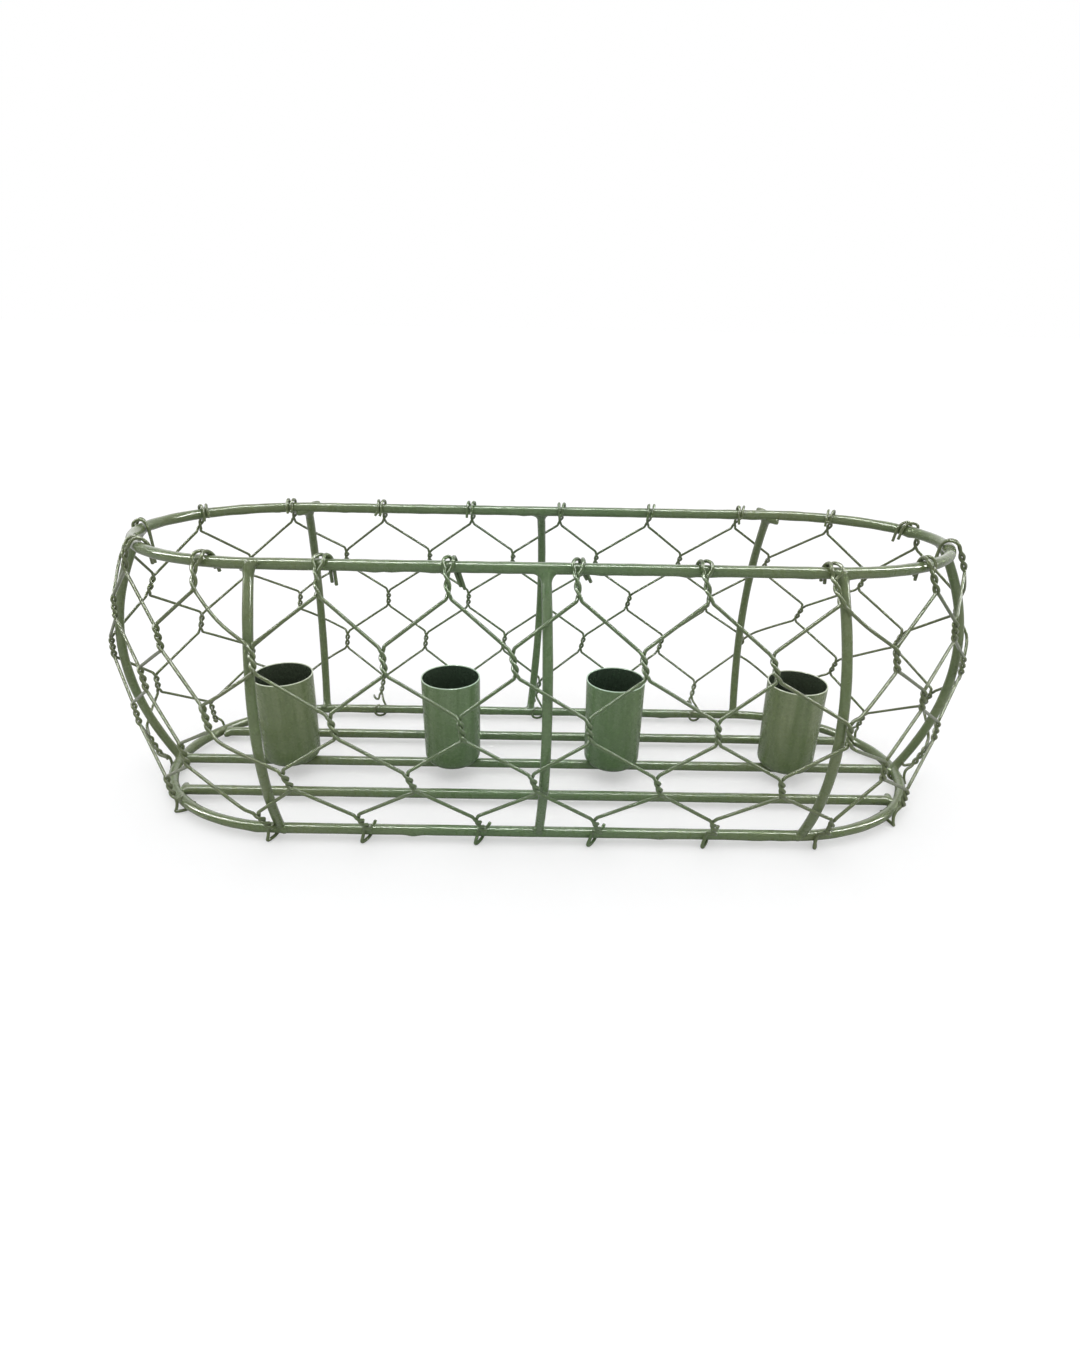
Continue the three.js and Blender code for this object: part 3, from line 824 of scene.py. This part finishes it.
def makeFloor():
    half = stage["floorSize"] / 2
    mesh = bpy.data.meshes.new("floor")
    corners = [(-half, -half, 0), (half, -half, 0), (half, half, 0), (-half, half, 0)]
    mesh.from_pydata(corners, [], [(0, 1, 2, 3)])
    floor = bpy.data.objects.new("floor", mesh)
    bpy.context.scene.collection.objects.link(floor)
    material = bpy.data.materials.new("paleFloor")
    material.use_nodes = True
    shader = material.node_tree.nodes["Principled BSDF"]
    path = addNode(material.node_tree, "ShaderNodeLightPath")
    pale = mixColour(material.node_tree, path.outputs["Is Camera Ray"], stage["bounce"], stage["floor"])
    material.node_tree.links.new(pale, shader.inputs["Base Color"])
    glow = rangeNode(material.node_tree, path.outputs["Is Camera Ray"], 0.0, 1.0, 0.0, stage["glow"])
    material.node_tree.links.new(glow.outputs["Result"], shader.inputs["Emission Strength"])
    shader.inputs["Emission Color"].default_value = (1, 1, 1, 1)
    shader.inputs["Roughness"].default_value = 0.9
    shader.inputs["Specular IOR Level"].default_value = 0.0
    mesh.materials.append(material)


# The studio: a white sweep to look at, a soft dome to light the frame and, for its gloss to mirror, a dim
# room with a pale back wall and a long thin lamp overhead.
def makeWorld():
    world = bpy.data.worlds.new("studio")
    bpy.context.scene.world = world
    world.use_nodes = True
    tree = world.node_tree
    direction = addNode(tree, "ShaderNodeTexCoord")
    split = addNode(tree, "ShaderNodeSeparateXYZ")
    tree.links.new(direction.outputs["Generated"], split.inputs[0])
    dome = rangeNode(tree, split.outputs["Z"], 0.0, 1.0, stage["horizon"], stage["zenith"])
    room = rangeNode(tree, split.outputs["Z"], 0.0, 1.0, *stage["mirrored"])
    behind = rangeNode(tree, split.outputs["Y"], *stage["backWallSpan"], 0.0, stage["backWall"])
    # the lamp is the band of directions square to a line that rises a little to the back
    off = addNode(tree, "ShaderNodeVectorMath", operation="DOT_PRODUCT")
    tree.links.new(direction.outputs["Generated"], off.inputs[0])
    off.inputs[1].default_value = (0, np.sin(stage["stripRise"]), np.cos(stage["stripRise"]))
    aside = addNode(tree, "ShaderNodeMath", operation="ABSOLUTE")
    tree.links.new(off.outputs["Value"], aside.inputs[0])
    lamp = rangeNode(tree, aside.outputs[0], *stage["stripHalf"], stage["strip"], 0.0)
    above = rangeNode(tree, split.outputs["Z"], *stage["stripFrom"], 0.0, 1.0)
    hung = addNode(tree, "ShaderNodeMath", operation="MULTIPLY_ADD")
    tree.links.new(lamp.outputs["Result"], hung.inputs[0])
    tree.links.new(above.outputs["Result"], hung.inputs[1])
    tree.links.new(room.outputs["Result"], hung.inputs[2])
    mirrored = addNode(tree, "ShaderNodeMath", operation="ADD")
    tree.links.new(hung.outputs[0], mirrored.inputs[0])
    tree.links.new(behind.outputs["Result"], mirrored.inputs[1])
    path = addNode(tree, "ShaderNodeLightPath")
    last = tree.nodes["Background"].outputs[0]
    tree.nodes["Background"].inputs["Color"].default_value = (1, 1, 1, 1)
    tree.links.new(dome.outputs["Result"], tree.nodes["Background"].inputs["Strength"])
    for ray, strength in (("Is Glossy Ray", mirrored.outputs[0]), ("Is Camera Ray", stage["seen"])):
        other = addNode(tree, "ShaderNodeBackground")
        other.inputs["Color"].default_value = (1, 1, 1, 1)
        feed(tree, strength, other.inputs["Strength"])
        both = addNode(tree, "ShaderNodeMixShader")
        tree.links.new(path.outputs[ray], both.inputs[0])
        tree.links.new(last, both.inputs[1])
        tree.links.new(other.outputs[0], both.inputs[2])
        last = both.outputs[0]
    tree.links.new(last, tree.nodes["World Output"].inputs["Surface"])


makeFloor()
makeWorld()

camera = {
    "place": (-0.981, -302.805, 188.700), "target": (0.309, 0, 48.565),
    "roll": 0.0182220,  # in radians, anticlockwise as it looks
    "lens": 20.554, "sensor": 36,
}


def makeCamera():
    data = bpy.data.cameras.new("camera")
    data.lens = camera["lens"]
    data.sensor_width = camera["sensor"]
    data.clip_start, data.clip_end = 0.01, 100
    view = bpy.data.objects.new("camera", data)
    bpy.context.scene.collection.objects.link(view)
    place, target = Vector(camera["place"]) * mm, Vector(camera["target"]) * mm
    level = (target - place).to_track_quat("-Z", "Y").to_matrix()
    view.rotation_euler = (level @ Matrix.Rotation(camera["roll"], 3, "Z")).to_euler()
    view.location = place
    bpy.context.scene.camera = view


makeCamera()
bpy.context.scene.view_settings.view_transform = "Standard"
